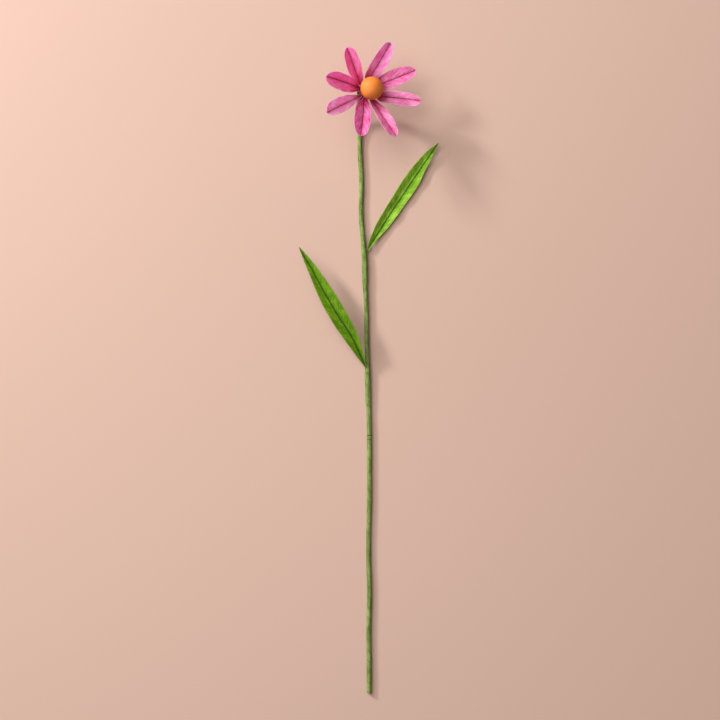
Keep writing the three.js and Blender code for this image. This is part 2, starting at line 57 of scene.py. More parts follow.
STEM = np.array([
    [6.87, -265.27, 1.88, 1.9], [6.87, -249.29, 1.88, 1.98], [6.75, -233.31, 1.88, 1.9], [6.51, -217.33, 1.88, 1.85],
    [6.75, -204.54, 1.88, 1.88], [7.07, -191.76, 1.88, 1.9], [6.99, -175.78, 1.88, 1.88], [6.39, -159.8, 1.88, 1.8],
    [6.39, -140.62, 1.88, 1.76], [6.75, -124.64, 1.88, 1.84], [7.03, -108.66, 1.88, 1.9], [7.03, -89.49, 1.88, 1.9],
    [7.03, -70.31, 1.88, 1.9], [6.99, -57.53, 1.88, 1.92], [6.79, -47.94, 1.88, 1.85], [6.55, -38.35, 1.88, 1.85],
    [6.31, -28.76, 2.18, 1.85], [6.15, -19.17, 2.48, 1.85], [5.75, -7.98, 2.83, 1.85], [5.19, 6.39, 2.88, 1.75],
    [4.79, 20.76, 2.88, 1.7], [4.71, 31.94, 2.88, 1.68], [4.39, 43.12, 2.88, 1.68], [3.91, 54.3, 2.88, 1.75],
    [3.19, 65.47, 2.88, 1.85], [3.03, 76.66, 2.77, 1.9], [2.56, 86.26, 2.44, 1.9], [2.08, 95.87, 2.1, 1.8],
    [1.2, 105.47, 1.88, 1.8], [0.52, 115.06, 1.88, 1.85], [0.36, 126.24, 1.88, 1.75], [0.72, 137.43, 1.88, 1.85],
    [0.56, 148.61, 1.88, 1.85], [-0.04, 158.2, 1.88, 1.8], [-0.4, 166.19, 1.88, 1.85], [-0.65, 172.58, 1.88, 1.85],
    [-0.7, 180.5, 2.5, 1.8], [-0.8, 188.3, 4.0, 1.75], [-1.05, 195.86, 7.2, 1.7], [-1.3, 202.29, 12.3, 1.65],
    [-0.95, 207.3, 17.4, 1.65],
])
TAILS = [(86.5, 8.0), (-10.5, 150.0)]
TAIL_LENGTH, TAIL_OFFSET = 22.0, 1.62

# Each petal: the plan line of its crease (direction, and how far it passes to the left of the head's axis), how far out
# its tip is, the two halves' half-widths along it, how steeply each half is folded up, and small differences.
EDGE_AT = (0, 0.06, 0.14, 0.25, 0.36, 0.47, 0.58, 0.69, 0.8, 0.9, 1)
PETALS = [
    dict(name="petal_1", line=(119.5, 3.4), tip=36.9, fold=(14, 56), bow=0.8, twist=4, lift=0.5,
         left=[0.42, 1.1, 2.6, 4.6, 6.3, 6.9, 7.3, 7.1, 6.5, 5.5, 4.5], right=[0.42, 1.3, 2.8, 4.2, 5.3, 6.1, 6.6, 6.8, 6.5, 5.6, 4.6]),
    dict(name="petal_2", line=(62.8, 3.4), tip=39.7, fold=(30, 30), bow=1.5, twist=-3, lift=0.1,
         left=[0.42, 1.9, 4.5, 6.8, 7.6, 7.9, 7.8, 7.4, 6.7, 5.7, 4.5], right=[0.42, 1.6, 3.8, 5.7, 6.5, 6.9, 7, 6.7, 6, 4.9, 3.8]),
    dict(name="petal_3", line=(23.5, 0.95), tip=39.8, fold=(6, 10), bow=1.2, twist=2, lift=-0.1,
         left=[0.42, 1.6, 3.7, 5.5, 6.5, 7.1, 7.6, 7.4, 6.5, 5.1, 3.7], right=[0.42, 1.6, 3.7, 5.8, 6.4, 6.6, 6.5, 6.1, 5.5, 4.5, 3.3]),
    dict(name="petal_4", line=(-6.1, -3.0), tip=40.9, fold=(9, 8), bow=1.3, twist=-4, lift=0.4,
         left=[0.42, 1.2, 2.8, 4.3, 5, 5.4, 5.4, 5.2, 4.7, 3.9, 2.8], right=[0.42, 1.4, 3.1, 4.6, 5.4, 6, 6.5, 6.5, 6.1, 5.3, 4.2]),
    dict(name="petal_5", line=(-62.9, 0.2), tip=41.55, fold=(20, 30), bow=0.4, twist=5, lift=0.0,
         left=[0.42, 1, 2, 3.2, 4.5, 5.3, 5.7, 5.7, 5.3, 4.3, 3.4], right=[0.42, 1.4, 3, 4.7, 6.2, 7, 7.5, 7.5, 7, 6, 4.8]),
    dict(name="petal_6", line=(-103.1, -1.2), tip=39.95, fold=(24, 16), bow=2.0, twist=-2, lift=-0.1,
         left=[0.42, 1.4, 3.1, 4.6, 5.4, 6, 6.3, 6.2, 5.9, 5.1, 4], right=[0.42, 1.5, 3.4, 5.6, 7.2, 8.1, 8.5, 8.4, 7.8, 6.7, 5.1]),
    dict(name="petal_7", line=(-150.3, 1.1), tip=45.1, fold=(24, 30), bow=1.5, twist=3, lift=0.3,
         left=[0.42, 0.8, 1.5, 2.4, 3.7, 4.8, 5.6, 5.9, 5.5, 4.7, 3.7], right=[0.42, 0.8, 1.5, 2.6, 4.4, 6.0, 7.1, 7.6, 7.4, 6.6, 5.2]),
    dict(name="petal_8", line=(173.3, -1.2), tip=38.8, fold=(10, 42), bow=1.7, twist=-4, lift=-0.3,
         left=[0.42, 1.5, 3.3, 5.2, 6.6, 7.3, 7.8, 7.6, 6.9, 5.9, 4.8], right=[0.42, 1.1, 2.3, 3.7, 5.0, 5.8, 6.5, 6.8, 6.6, 5.8, 4.7]),
]

LEAF_UPPER = dict(
    midrib=[[5.7, 88.05, 3.3], [9.6, 94.5, 2.6], [16.2, 104.95, 1.75], [24.7, 117.95, 1.4], [30.4, 126.55, 1.35],
            [37.8, 137.7, 1.45], [44.65, 147.95, 1.9], [53.3, 160.7, 3.0], [62.15, 173.15, 4.6]],
    outline=[[0, 0.8, 0.7], [0.03, 1.9, 1.1], [0.06, 2.88, 1.5], [0.1, 3.99, 2.07], [0.16, 5.17, 3.1], [0.23, 6.22, 4.6],
             [0.31, 6.53, 5.2], [0.39, 6.88, 5.5], [0.46, 7.07, 5.6], [0.54, 7.3, 5.8], [0.6, 7.5, 6.0], [0.67, 7.29, 5.65],
             [0.74, 6.39, 4.4], [0.82, 5.44, 3.28], [0.89, 4.41, 2.4], [0.95, 2.21, 1.43], [1, 0.3, 0.3]],
    rise=[[0, 40, 25], [0.3, 38, 12], [0.6, 34, 14], [1, 30, 22]],
    inner=(-6, 4),
)
LEAF_LOWER = dict(
    midrib=[[4.3, -5.2, 4.9], [0.4, 3.62, 7.2], [-6.3, 17.97, 11.0], [-15.6, 32.27, 13.2], [-21.4, 41.81, 14.0],
            [-29.7, 56.1, 14.9], [-37.4, 70.39, 15.5], [-48.5, 89.7, 16.0]],
    outline=[[0, 0.7, 0.7], [0.03, 1.5, 1.5], [0.06, 2.45, 2.4], [0.1, 3.62, 3.55], [0.16, 4.93, 5.02], [0.23, 6.08, 6.35],
             [0.31, 6.81, 7.28], [0.39, 7.08, 7.75], [0.46, 7.13, 7.93], [0.54, 6.87, 7.67], [0.6, 6.4, 7.17], [0.67, 5.7, 6.42],
             [0.74, 4.9, 5.5], [0.82, 3.9, 4.3], [0.89, 2.73, 3.13], [0.95, 1.6, 1.8], [1, 0.3, 0.3]],
    rise=[[0, 20, 60], [0.2, 14, 54], [0.45, 24, 34], [0.7, 30, 24], [1, 30, 30]],
    inner=(10, 12),
)


# ------------------------------------------------------------------ numbers
GRID = np.random.default_rng(11).random((256, 256))


def noise2(x, y, seed=0):
    """Smooth value noise, 0 to 1."""
    x = np.asarray(x, float) + 31.7 * seed
    y = np.asarray(y, float) + 17.3 * seed
    xi, yi = np.floor(x).astype(int), np.floor(y).astype(int)
    u, v = x - xi, y - yi
    u, v = u * u * (3 - 2 * u), v * v * (3 - 2 * v)
    a, b = GRID[xi % 256, yi % 256], GRID[(xi + 1) % 256, yi % 256]
    c, d = GRID[xi % 256, (yi + 1) % 256], GRID[(xi + 1) % 256, (yi + 1) % 256]
    return (a * (1 - u) + b * u) * (1 - v) + (c * (1 - u) + d * u) * v


def fbm(x, y, seed=0, octaves=3):
    total, amp, norm = 0.0, 1.0, 0.0
    for k in range(octaves):
        total = total + amp * noise2(x * 2 ** k, y * 2 ** k, seed + 5 * k)
        norm += amp
        amp *= 0.5
    return total / norm


def smooth(a, b, x):
    t = np.clip((np.asarray(x, float) - a) / (b - a), 0, 1)
    return t * t * (3 - 2 * t)


def unit(v):
    v = np.asarray(v, float)
    return v / np.maximum(np.linalg.norm(v, axis=-1, keepdims=True), 1e-12)


def pchip(xs, ys, x):
    """Monotone cubic through the points."""
    xs, ys, x = (np.asarray(v, float) for v in (xs, ys, x))
    h, d = np.diff(xs), np.diff(ys) / np.diff(xs)
    m = np.zeros_like(ys)
    for i in range(1, len(xs) - 1):
        if d[i - 1] * d[i] > 0:
            w1, w2 = 2 * h[i] + h[i - 1], h[i] + 2 * h[i - 1]
            m[i] = (w1 + w2) / (w1 / d[i - 1] + w2 / d[i])
    m[0], m[-1] = d[0], d[-1]
    i = np.clip(np.searchsorted(xs, x, side="right") - 1, 0, len(xs) - 2)
    t = np.clip((x - xs[i]) / h[i], 0, 1)
    return ((1 + 2 * t) * (1 - t) ** 2 * ys[i] + t * (1 - t) ** 2 * h[i] * m[i]
            + t * t * (3 - 2 * t) * ys[i + 1] + t * t * (t - 1) * h[i] * m[i + 1])


def spline(points, n, dense=40):
    """n points evenly along a centripetal Catmull-Rom curve."""
    p = np.asarray(points, float)
    p = np.vstack([2 * p[0] - p[1], p, 2 * p[-1] - p[-2]])
    out = []
    for i in range(1, len(p) - 2):
        k = np.concatenate([[0], np.cumsum(np.sqrt(np.linalg.norm(np.diff(p[i - 1:i + 3], axis=0), axis=1)))])
        t = np.linspace(k[1], k[2], dense, endpoint=False)[:, None]
        a1 = (k[1] - t) / (k[1] - k[0]) * p[i - 1] + (t - k[0]) / (k[1] - k[0]) * p[i]
        a2 = (k[2] - t) / (k[2] - k[1]) * p[i] + (t - k[1]) / (k[2] - k[1]) * p[i + 1]
        a3 = (k[3] - t) / (k[3] - k[2]) * p[i + 1] + (t - k[2]) / (k[3] - k[2]) * p[i + 2]
        b1 = (k[2] - t) / (k[2] - k[0]) * a1 + (t - k[0]) / (k[2] - k[0]) * a2
        b2 = (k[3] - t) / (k[3] - k[1]) * a2 + (t - k[1]) / (k[3] - k[1]) * a3
        out.append((k[2] - t) / (k[2] - k[1]) * b1 + (t - k[1]) / (k[2] - k[1]) * b2)
    out = np.vstack([*out, p[-2][None]])
    return resample(out, n)


def resample(points, n):
    d = np.concatenate([[0], np.cumsum(np.linalg.norm(np.diff(points, axis=0), axis=1))])
    s = np.linspace(0, d[-1], n) if np.isscalar(n) else np.asarray(n) * d[-1]
    return np.stack([np.interp(s, d, points[:, k]) for k in range(points.shape[1])], axis=1)


def lengths(points):
    return np.concatenate([[0], np.cumsum(np.linalg.norm(np.diff(points, axis=0), axis=1))])


# ------------------------------------------------------------------ the head's frame
AXIS = np.array([math.sin(HEAD_TILT * DEG) * math.cos(HEAD_TOWARDS * DEG),
                 math.sin(HEAD_TILT * DEG) * math.sin(HEAD_TOWARDS * DEG), math.cos(HEAD_TILT * DEG)])
HEAD_X = unit(np.array([1.0, 0, 0]) - AXIS[0] * AXIS)
HEAD_Y = np.cross(AXIS, HEAD_X)


def from_head(p):
    """Points in the head's own frame, its origin at the ball's centre, to the lay-out."""
    p = np.asarray(p, float)
    return BALL_CENTRE + p[..., :1] * HEAD_X + p[..., 1:2] * HEAD_Y + p[..., 2:3] * AXIS


def on_axis(d):
    return BALL_CENTRE + d * AXIS


# ------------------------------------------------------------------ meshes
def build(name, points, quads, tris, attributes, material, replaces, sharp=None):
    me = bpy.data.meshes.new(name)
    co = ((np.asarray(points, float).reshape(-1, 3) + SHIFT) * MM).astype(np.float32)
    quads = np.asarray(quads, np.int32).reshape(-1, 4)
    tris = np.asarray(tris, np.int32).reshape(-1, 3)
    me.vertices.add(len(co))
    me.vertices.foreach_set("co", co.ravel())
    loops = np.concatenate([quads.ravel(), tris.ravel()])
    me.loops.add(len(loops))
    me.loops.foreach_set("vertex_index", loops)
    me.polygons.add(len(quads) + len(tris))
    starts = np.concatenate([np.arange(len(quads)) * 4, len(quads) * 4 + np.arange(len(tris)) * 3])
    me.polygons.foreach_set("loop_start", starts.astype(np.int32))
    me.update(calc_edges=True)
    me.validate()
    me.polygons.foreach_set("use_smooth", np.ones(len(me.polygons), bool))
    for key, value in attributes.items():
        value = np.asarray(value, np.float32)
        if value.ndim == 1:
            me.attributes.new(key, "FLOAT", "POINT").data.foreach_set("value", value)
        else:
            me.attributes.new(key, "FLOAT_VECTOR", "POINT").data.foreach_set("vector", value.ravel())
    me.materials.append(material)
    me.update()
    ob = bpy.data.objects.new(name, me)
    bpy.context.scene.collection.objects.link(ob)
    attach(ob, "root")
    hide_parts(*replaces)
    return ob


def outward(points, quads, tris):
    """Turns every face the other way if the closed mesh is inside out."""
    p = np.asarray(points, float).reshape(-1, 3)
    t = np.vstack([quads[:, [0, 1, 2]], quads[:, [0, 2, 3]], tris]) if len(tris) else np.vstack([quads[:, [0, 1, 2]], quads[:, [0, 2, 3]]])
    volume = np.einsum("ij,ij->i", p[t[:, 0]], np.cross(p[t[:, 1]], p[t[:, 2]])).sum()
    if volume < 0:
        quads, tris = quads[:, ::-1], tris[:, ::-1] if len(tris) else tris
    return quads, tris


def grid_normals(p):
    du = np.gradient(p, axis=0)
    dv = np.gradient(p, axis=1)
    return unit(np.cross(du, dv))


def sheet_mesh(p, thickness, normals=None):
    """A closed thin sheet from a grid of mid-surface points (rows, columns, 3). Top points first, then bottom points."""
    n = grid_normals(p) if normals is None else normals
    th = np.asarray(thickness)
    th = th[..., None] if th.ndim == 2 else th
    rows, cols = p.shape[:2]
    points = np.concatenate([(p + n * th / 2).reshape(-1, 3), (p - n * th / 2).reshape(-1, 3)])
    i, j = np.meshgrid(np.arange(rows - 1), np.arange(cols - 1), indexing="ij")
    a = (i * cols + j).ravel()
    m = rows * cols
    top = np.stack([a, a + 1, a + cols + 1, a + cols], 1)
    low = np.stack([a, a + cols, a + cols + 1, a + 1], 1) + m
    r = np.arange(rows - 1) * cols
    c = np.arange(cols - 1)
    e = (rows - 1) * cols
    walls = [
        np.stack([r, r + cols, r + cols + m, r + m], 1),
        np.stack([r + cols - 1, r + cols - 1 + m, r + 2 * cols - 1 + m, r + 2 * cols - 1], 1),
        np.stack([c, c + m, c + 1 + m, c + 1], 1),
        np.stack([c + e, c + 1 + e, c + 1 + e + m, c + e + m], 1),
    ]
    quads = np.vstack([top, low, *walls])
    quads, tris = outward(points, quads, np.zeros((0, 3), int))
    return points, quads, tris


def frames(centres):
    """Normals and sides along a centreline, carried along without twist, the first normal up."""
    t = unit(np.gradient(centres, axis=0))
    n = np.zeros_like(centres)
    last = np.array([0.0, 0, 1])
    for i in range(len(centres)):
        last = unit(last - t[i] * (last @ t[i]))
        n[i] = last
    return t, n, np.cross(t, n)


def tube_mesh(centres, radius, sides, bore=None):
    """Rings round a centreline: radius is (rows, sides). With bore, the tube is open inside to that radius."""
    _, n, b = frames(centres)
    a = 2 * np.pi * np.arange(sides) / sides
    ring = np.cos(a)[None, :, None] * n[:, None] + np.sin(a)[None, :, None] * b[:, None]
    outer = centres[:, None] + ring * radius[..., None]
    rows = len(centres)

    def band(at):
        i, j = np.meshgrid(np.arange(rows - 1), np.arange(sides), indexing="ij")
        i, j = i.ravel(), j.ravel()
        k = (j + 1) % sides
        return np.stack([i * sides + j, i * sides + k, (i + 1) * sides + k, (i + 1) * sides + j], 1) + at

    j = np.arange(sides)
    k = (j + 1) % sides
    last = (rows - 1) * sides
    if bore is None:
        points = np.vstack([outer.reshape(-1, 3), centres[0][None], centres[-1][None]])
        m = rows * sides
        tris = np.vstack([np.stack([k, j, np.full(sides, m)], 1), np.stack([j + last, k + last, np.full(sides, m + 1)], 1)])
        return (points, *outward(points, band(0), tris))
    inner = centres[:, None] + ring * (bore if np.isscalar(bore) else np.asarray(bore)[:, None, None])
    m = rows * sides
    points = np.vstack([outer.reshape(-1, 3), inner.reshape(-1, 3)])
    ends = [np.stack([k, j, j + m, k + m], 1), np.stack([j + last, k + last, k + last + m, j + last + m], 1)]
    quads = np.vstack([band(0), band(m)[:, ::-1], *ends])
    return (points, *outward(points, quads, np.zeros((0, 3), int)))


# ------------------------------------------------------------------ materials
def new_material(name):
    mat = bpy.data.materials.new(name)
    mat.use_nodes = True
    tree = mat.node_tree
    tree.nodes.clear()
    out = tree.nodes.new("ShaderNodeOutputMaterial")
    bsdf = tree.nodes.new("ShaderNodeBsdfPrincipled")
    tree.links.new(bsdf.outputs[0], out.inputs[0])
    return mat, tree, bsdf


class Nodes:
    """Short names for the nodes used here."""

    def __init__(self, tree):
        self.t = tree

    def put(self, socket, value):
        if isinstance(value, bpy.types.NodeSocket):
            self.t.links.new(value, socket)
        elif isinstance(value, (tuple, list)) and socket.type == "RGBA":
            socket.default_value = (*value[:3], 1.0)
        else:
            socket.default_value = value

    def attr(self, name):
        n = self.t.nodes.new("ShaderNodeAttribute")
        n.attribute_name = name
        return n

    def split(self, vector):
        n = self.t.nodes.new("ShaderNodeSeparateXYZ")
        self.put(n.inputs[0], vector)
        return n.outputs

    def join(self, x, y, z):
        n = self.t.nodes.new("ShaderNodeCombineXYZ")
        for s, v in zip(n.inputs, (x, y, z)):
            self.put(s, v)
        return n.outputs[0]

    def math(self, op, a, b=0.0, c=0.0):
        n = self.t.nodes.new("ShaderNodeMath")
        n.operation = op
        for s, v in zip(n.inputs, (a, b, c)):
            self.put(s, v)
        return n.outputs[0]

    def ramp(self, x, lo, hi, to_lo=0.0, to_hi=1.0, kind="SMOOTHSTEP"):
        n = self.t.nodes.new("ShaderNodeMapRange")
        n.interpolation_type = kind
        for s, v in zip(n.inputs, (x, lo, hi, to_lo, to_hi)):
            self.put(s, v)
        return n.outputs[0]

    def mix(self, fac, a, b, blend="MIX"):
        n = self.t.nodes.new("ShaderNodeMix")
        n.data_type = "RGBA"
        n.blend_type = blend
        self.put(n.inputs[0], fac)
        self.put(n.inputs[6], a)
        self.put(n.inputs[7], b)
        return n.outputs[2]

    def noise(self, vector, scale, detail=2.0, rough=0.5, distort=0.0):
        n = self.t.nodes.new("ShaderNodeTexNoise")
        self.put(n.inputs["Vector"], vector)
        n.inputs["Scale"].default_value = scale
        n.inputs["Detail"].default_value = detail
        n.inputs["Roughness"].default_value = rough
        n.inputs["Distortion"].default_value = distort
        return n.outputs[0]

    def bump(self, height, distance, strength=1.0, normal=None):
        n = self.t.nodes.new("ShaderNodeBump")
        n.inputs["Strength"].default_value = strength
        n.inputs["Distance"].default_value = distance
        self.put(n.inputs["Height"], height)
        if normal is not None:
            self.put(n.inputs["Normal"], normal)
        return n.outputs[0]


def paper_material(name, light, dark, crease, edge, crease_mm=(0.22, 0.62), halo=0.25, seed=0.0, tip=None, base=None,
                   threads=0.3, through=0.32, sheen=0.05, sheen_tint=(1.0, 0.85, 0.92), grain_scale=1.0, under=None):
    """Crepe paper. The mesh gives, in mm: across (signed, from the crease), along, and distance to the edge, and the
    grain coordinate with the length along it."""
    mat, tree, bsdf = new_material(name)
    n = Nodes(tree)
    x, y, z = n.split(n.attr("paper").outputs["Vector"])
    g, l, side = n.split(n.attr("grain").outputs["Vector"])
    far = n.math("ABSOLUTE", x)
    streak = n.noise(n.join(n.math("MULTIPLY", g, 0.8 * grain_scale), n.math("MULTIPLY", l, 0.11), seed), 1.0, 4.0, 0.65, 0.3)
    fine = n.noise(n.join(n.math("MULTIPLY", g, 4.2 * grain_scale), n.math("MULTIPLY", l, 0.55), seed + 7.0), 1.0, 2.0, 0.6)
    blotch = n.noise(n.join(n.math("MULTIPLY", x, 0.16), n.math("MULTIPLY", y, 0.11), seed + 3.0), 1.0, 2.0, 0.55)
    tone = n.math("MULTIPLY_ADD", streak, 0.62, n.math("MULTIPLY", blotch, 0.38))
    colour = n.mix(n.ramp(tone, 0.40, 0.60), dark, light)
    colour = n.mix(n.ramp(fine, 0.5, 0.72, 0.0, 0.55), colour, dark)
    fleck = n.noise(n.join(n.math("MULTIPLY", g, 1.2 * grain_scale), n.math("MULTIPLY", l, 0.2), seed + 11.0), 1.0, 4.0, 0.7, 0.6)
    colour = n.mix(n.ramp(fleck, 0.53, 0.68, 0.0, 0.7), colour, edge)
    colour = n.mix(n.ramp(fleck, 0.32, 0.46, threads, 0.0), colour, crease)
    if tip is not None:
        colour = n.mix(n.ramp(y, tip[1], tip[2], 0.0, tip[3]), colour, tip[0])
    # the base colour is painted shade: darker towards the petal's base, under the ball
    if base is not None:
        colour = n.mix(n.ramp(n.math("MULTIPLY_ADD", streak, 9.0, y), base[1], base[2], base[3], 0.0), colour, base[0])
    # the fold: a dark line, painted shade in the pinched groove, and fainter painted shade beside it in the valley
    wobble = n.noise(n.join(n.math("MULTIPLY", y, 0.45), seed, 0.0), 1.0, 2.0)
    faint = n.ramp(n.noise(n.join(n.math("MULTIPLY", y, 0.8), seed + 4.0, 0.0), 1.0, 3.0, 0.6), 0.32, 0.62, 0.55, 1.0)
    reach = n.math("MULTIPLY_ADD", wobble, 0.9, 0.55)
    near = n.math("DIVIDE", far, reach)
    painted_crease_shade = n.ramp(near, 0.2, 2.6, halo, 0.0)
    colour = n.mix(painted_crease_shade, colour, crease)
    colour = n.mix(n.math("MULTIPLY", n.ramp(near, crease_mm[0], crease_mm[1], 0.9, 0.0), faint), colour, crease)
    colour = n.mix(n.ramp(z, 0.05, 0.75, 0.55, 0.0), colour, edge)
    if under is not None:
        colour = n.mix(n.ramp(side, 0.4, 0.6, 0.0, under[1]), colour, under[0])
    n.put(bsdf.inputs["Base Color"], colour)
    n.put(bsdf.inputs["Roughness"], n.ramp(streak, 0.2, 0.8, 0.72, 0.92))
    height = n.math("MULTIPLY_ADD", fine, 0.6, n.math("MULTIPLY", streak, 0.4))
    n.put(bsdf.inputs["Normal"], n.bump(height, 0.00012, 0.8))
    bsdf.inputs["Specular IOR Level"].default_value = 0.12
    bsdf.inputs["Sheen Weight"].default_value = sheen
    bsdf.inputs["Sheen Roughness"].default_value = 0.45
    bsdf.inputs["Sheen Tint"].default_value = (*sheen_tint, 1)
    passed = tree.nodes.new("ShaderNodeBsdfTranslucent")
    n.put(passed.inputs["Color"], colour)
    both_ways = tree.nodes.new("ShaderNodeMixShader")
    both_ways.inputs[0].default_value = through
    n.put(both_ways.inputs[1], bsdf.outputs[0])
    n.put(both_ways.inputs[2], passed.outputs[0])
    n.put(tree.nodes["Material Output"].inputs[0], both_ways.outputs[0])
    return mat


def tape_material(name, light, dark, edge, seed=0.0, joint_at=None):
    """Wound crepe tape. The mesh gives (angle round, length along, place across the tape from 0 to 1)."""
    mat, tree, bsdf = new_material(name)
    n = Nodes(tree)
    a, l, w = n.split(n.attr("tape").outputs["Vector"])
    cx, cy, _ = n.split(n.attr("round").outputs["Vector"])
    fine = n.noise(n.join(n.math("MULTIPLY", cx, 1.6), n.math("MULTIPLY", cy, 1.6), n.math("MULTIPLY", l, 1.1)), 1.0, 3.0, 0.6, 0.4)
    mottle = n.noise(n.join(n.math("MULTIPLY", cx, 0.5), n.math("MULTIPLY", cy, 0.5), n.math("MULTIPLY", l, 0.09)), 1.0, 3.0, 0.55)
    tone = n.math("MULTIPLY_ADD", fine, 0.5, n.math("MULTIPLY", mottle, 0.5))
    colour = n.mix(n.ramp(tone, 0.36, 0.64), dark, light)
    colour = n.mix(n.ramp(w, 0.86, 0.985, 0.0, 0.75), colour, edge)
    colour = n.mix(n.ramp(w, 0.0, 0.07, 0.3, 0.0), colour, light)
    if joint_at is not None:
        # where the two lengths of tape meet, and where the upper one's first turn ends
        for at, half in ((joint_at, 0.55), (joint_at - 3.2, 0.4)):
            off = n.math("ABSOLUTE", n.math("SUBTRACT", l, at))
            colour = n.mix(n.ramp(off, half * 0.5, half, 0.92, 0.0), colour, edge)
    n.put(bsdf.inputs["Base Color"], colour)
    n.put(bsdf.inputs["Roughness"], n.ramp(fine, 0.2, 0.8, 0.62, 0.88))
    n.put(bsdf.inputs["Normal"], n.bump(fine, 0.00015, 0.8))
    bsdf.inputs["Specular IOR Level"].default_value = 0.14
    bsdf.inputs["Sheen Weight"].default_value = 0.04
    bsdf.inputs["Sheen Tint"].default_value = (0.95, 1.0, 0.6, 1)
    bsdf.inputs["Subsurface Weight"].default_value = 0.08
    bsdf.inputs["Subsurface Radius"].default_value = (0.4, 1.0, 0.2)
    bsdf.inputs["Subsurface Scale"].default_value = 0.0006
    return mat


def ball_material():
    mat, tree, bsdf = new_material("painted_wood")
    n = Nodes(tree)
    tc = tree.nodes.new("ShaderNodeTexCoord")
    p = tc.outputs["Object"]
    brushed = n.noise(p, 420.0, 4.0, 0.6, 0.5)
    broad = n.noise(p, 90.0, 2.0, 0.5)
    colour = n.mix(n.ramp(broad, 0.35, 0.65), (0.72, 0.188, 0.024), (0.77, 0.228, 0.038))
    colour = n.mix(n.ramp(brushed, 0.52, 0.75, 0.0, 0.4), colour, (0.74, 0.160, 0.014))
    n.put(bsdf.inputs["Base Color"], colour)
    n.put(bsdf.inputs["Roughness"], n.ramp(brushed, 0.3, 0.7, 0.55, 0.75))
    n.put(bsdf.inputs["Normal"], n.bump(n.math("MULTIPLY_ADD", brushed, 0.7, n.math("MULTIPLY", broad, 0.3)), 0.00018, 0.7))
    bsdf.inputs["Specular IOR Level"].default_value = 0.35
    return mat


def steel_material():
    mat, tree, bsdf = new_material("drawn_steel")
    n = Nodes(tree)
    tc = tree.nodes.new("ShaderNodeTexCoord")
    p = tc.outputs["Object"]
    marks = n.noise(p, 2600.0, 3.0, 0.6, 0.3)
    colour = n.mix(n.ramp(marks, 0.35, 0.7), (0.42, 0.42, 0.43), (0.62, 0.62, 0.62))
    n.put(bsdf.inputs["Base Color"], colour)
    bsdf.inputs["Metallic"].default_value = 1.0
    n.put(bsdf.inputs["Roughness"], n.ramp(marks, 0.3, 0.7, 0.32, 0.55))
    n.put(bsdf.inputs["Normal"], n.bump(marks, 0.00003, 0.6))
    return mat


def floor_material():
    mat, tree, bsdf = new_material("pale_floor")
    n = Nodes(tree)
    tc = tree.nodes.new("ShaderNodeTexCoord")
    broad = n.noise(tc.outputs["Object"], 1.1, 2.0, 0.5)
    n.put(bsdf.inputs["Base Color"], n.mix(n.ramp(broad, 0.3, 0.7), FLOOR_A, FLOOR_B))
    bsdf.inputs["Roughness"].default_value = 0.85
    bsdf.inputs["Specular IOR Level"].default_value = 0.15
    return mat


FLOOR_A, FLOOR_B = (0.566, 0.378, 0.299), (0.584, 0.393, 0.313)


# ------------------------------------------------------------------ camera and light
camera = bpy.data.objects.new("camera", bpy.data.cameras.new("camera"))
bpy.context.scene.collection.objects.link(camera)
camera.location = Vector(((-0.4 + SHIFT[0]) * MM, (0.4 + SHIFT[1]) * MM, (1500 + SHIFT[2]) * MM))
camera.rotation_euler = (0, 0, 0)
camera.data.lens = 93.75
camera.data.sensor_width = 36
camera.data.clip_start, camera.data.clip_end = 0.01, 20
bpy.context.scene.camera = camera
bpy.context.scene.view_settings.view_transform = "Standard"
bpy.context.scene.view_settings.look = "None"
bpy.context.scene.view_settings.exposure = 0.0
bpy.context.scene.view_settings.gamma = 1.0


def area_light(name, direction, elevation, distance, size, power, colour, target=(0, 60, 20)):
    data = bpy.data.lights.new(name, "AREA")
    data.shape = "DISK"
    data.size = size
    data.energy = power
    data.color = colour
    ob = bpy.data.objects.new(name, data)
    bpy.context.scene.collection.objects.link(ob)
    aim = Vector([(t + s) * MM for t, s in zip(target, SHIFT)])
    a, e = direction * DEG, elevation * DEG
    ob.location = aim + Vector((math.cos(a) * math.cos(e), math.sin(a) * math.cos(e), math.sin(e))) * distance
    ob.rotation_mode = "QUATERNION"
    ob.rotation_quaternion = (aim - ob.location).to_track_quat("-Z", "Y")
    return ob


area_light("key", 142.6, 24.0, 2.1, 0.34, 42.0, (0.92, 0.95, 1.0))
area_light("soft", 141.0, 50.0, 2.1, 1.8, 40.5, (0.97, 0.98, 1.0))
area_light("over", 115.0, 80.0, 2.1, 1.8, 8.0, (1.0, 0.95, 0.90))
world = bpy.data.worlds.new("soft_fill")
bpy.context.scene.world = world
world.use_nodes = True
world.node_tree.nodes["Background"].inputs[0].default_value = (1.0, 0.90, 0.81, 1)
world.node_tree.nodes["Background"].inputs[1].default_value = 0.19

# ------------------------------------------------------------------ floor
floor_mesh = bpy.data.meshes.new("floor")
S = 4.0
floor_mesh.from_pydata([(-S, -S, 0), (S, -S, 0), (S, S, 0), (-S, S, 0)], [], [(0, 1, 2, 3)])
floor_mesh.materials.append(floor_material())
floor = bpy.data.objects.new("floor", floor_mesh)
bpy.context.scene.collection.objects.link(floor)


# ------------------------------------------------------------------ stem
STEM_LINE = spline([*STEM[:, :3], on_axis(CLAW_BOTTOM - 0.9), on_axis(CLAW_BOTTOM + 1.2), on_axis(-14), on_axis(-8), on_axis(4.1)], 2400)
STEM_AT = lengths(STEM_LINE)
row_at = [STEM_AT[np.argmin(np.linalg.norm(STEM_LINE - p[:3], axis=1))] for p in STEM]


def stem_radius(s):
    return pchip(row_at, STEM[:, 3], np.clip(s, row_at[0], row_at[-1]))


def stem_stretch(s0, s1, n):
    s = np.linspace(s0, s1, n)
    return s, np.stack([np.interp(s, STEM_AT, STEM_LINE[:, k]) for k in range(3)], axis=1)


